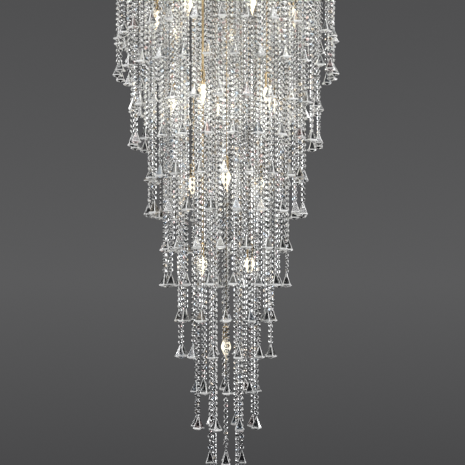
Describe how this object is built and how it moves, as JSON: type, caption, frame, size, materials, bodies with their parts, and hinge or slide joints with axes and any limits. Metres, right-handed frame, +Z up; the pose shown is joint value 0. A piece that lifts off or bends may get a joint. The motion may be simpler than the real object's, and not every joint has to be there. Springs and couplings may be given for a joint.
{
  "type": "crystal chandelier",
  "caption": "Long tapered ceiling light: rings of octagon bead strands with pyramid drops under a round plate, with candle lamps on rods among them.",
  "frame": {"origin": "middle of the bracket's top face, where it meets the ceiling", "axes": "+Z up into the ceiling along the chandelier's axis; +X and +Y along the bracket's arms"},
  "size_m": [0.8006, 0.8006, 2.0488],
  "materials": {
    "bracket_steel": "zinc-plated steel, dull",
    "polished_plate": "mirror-polished stainless steel",
    "chrome_fittings": "bright chrome",
    "block_plastic": "matt moulded plastic",
    "grommet_rubber": "soft black rubber",
    "rod_brass": "polished brass",
    "sleeve_brass": "polished brass",
    "lamp_glass": "warm white candle lamp, lit",
    "crystal": "clear cut crystal, polished facets"
  },
  "bodies": {
    "root": {"ceiling_bracket": "bracket_steel", "bracket_studs": "bracket_steel", "ceiling_plate": "polished_plate", "plate_rim": "polished_plate", "cap_nuts": "chrome_fittings", "terminal_block": "block_plastic", "cable_grommet": "grommet_rubber", "lamp_rods_1": "rod_brass", "lamp_rods_2": "rod_brass", "lamp_rods_3": "rod_brass", "lamp_rods_4": "rod_brass", "lamp_rods_5": "rod_brass", "lamp_holders_1": "sleeve_brass", "lamp_holders_2": "sleeve_brass", "lamp_holders_3": "sleeve_brass", "lamp_holders_4": "sleeve_brass", "lamp_holders_5": "sleeve_brass", "lamps_1": "lamp_glass", "lamps_2": "lamp_glass", "lamps_3": "lamp_glass", "lamps_4": "lamp_glass", "lamps_5": "lamp_glass", "strands_ring_1": "crystal", "strands_ring_2": "crystal", "strands_ring_3": "crystal", "strands_ring_4": "crystal", "strands_ring_5": "crystal", "strands_ring_6": "crystal", "strands_ring_7": "crystal", "drops_ring_2": "crystal", "drops_ring_3": "crystal", "drops_ring_4": "crystal", "drops_ring_5": "crystal", "drops_ring_6": "crystal", "drops_ring_7": "crystal"},
    "tail_1": {"tail_beads_1": "crystal", "tail_links_1": "chrome_fittings", "drop_1": "crystal"},
    "tail_2": {"tail_beads_2": "crystal", "tail_links_2": "chrome_fittings", "drop_2": "crystal"},
    "tail_3": {"tail_beads_3": "crystal", "tail_links_3": "chrome_fittings", "drop_3": "crystal"},
    "tail_4": {"tail_beads_4": "crystal", "tail_links_4": "chrome_fittings", "drop_4": "crystal"},
    "tail_5": {"tail_beads_5": "crystal", "tail_links_5": "chrome_fittings", "drop_5": "crystal"},
    "tail_6": {"tail_beads_6": "crystal", "tail_links_6": "chrome_fittings", "drop_6": "crystal"},
    "tail_7": {"tail_beads_7": "crystal", "tail_links_7": "chrome_fittings", "drop_7": "crystal"},
    "tail_8": {"tail_beads_8": "crystal", "tail_links_8": "chrome_fittings", "drop_8": "crystal"}
  },
  "joints": [
    {"name": "tail_swing_1", "type": "hinge", "parent": "root", "child": "tail_1", "pos_m": [0.055, 0, -1.8239], "axis": [0, -1, 0], "range_deg": [-3, 30]},
    {"name": "tail_swing_2", "type": "hinge", "parent": "root", "child": "tail_2", "pos_m": [0.03889, 0.03889, -1.9465], "axis": [0.7071, -0.7071, 0], "range_deg": [-3, 30]},
    {"name": "tail_swing_3", "type": "hinge", "parent": "root", "child": "tail_3", "pos_m": [0, 0.055, -1.8239], "axis": [1, 0, 0], "range_deg": [-3, 30]},
    {"name": "tail_swing_4", "type": "hinge", "parent": "root", "child": "tail_4", "pos_m": [-0.03889, 0.03889, -1.9465], "axis": [0.7071, 0.7071, 0], "range_deg": [-3, 30]},
    {"name": "tail_swing_5", "type": "hinge", "parent": "root", "child": "tail_5", "pos_m": [-0.055, 0, -1.8239], "axis": [0, 1, 0], "range_deg": [-3, 30]},
    {"name": "tail_swing_6", "type": "hinge", "parent": "root", "child": "tail_6", "pos_m": [-0.03889, -0.03889, -1.9465], "axis": [-0.7071, 0.7071, 0], "range_deg": [-3, 30]},
    {"name": "tail_swing_7", "type": "hinge", "parent": "root", "child": "tail_7", "pos_m": [0, -0.055, -1.8239], "axis": [-1, 0, 0], "range_deg": [-3, 30]},
    {"name": "tail_swing_8", "type": "hinge", "parent": "root", "child": "tail_8", "pos_m": [0.03889, -0.03889, -1.9465], "axis": [-0.7071, -0.7071, 0], "range_deg": [-3, 30]}
  ]
}
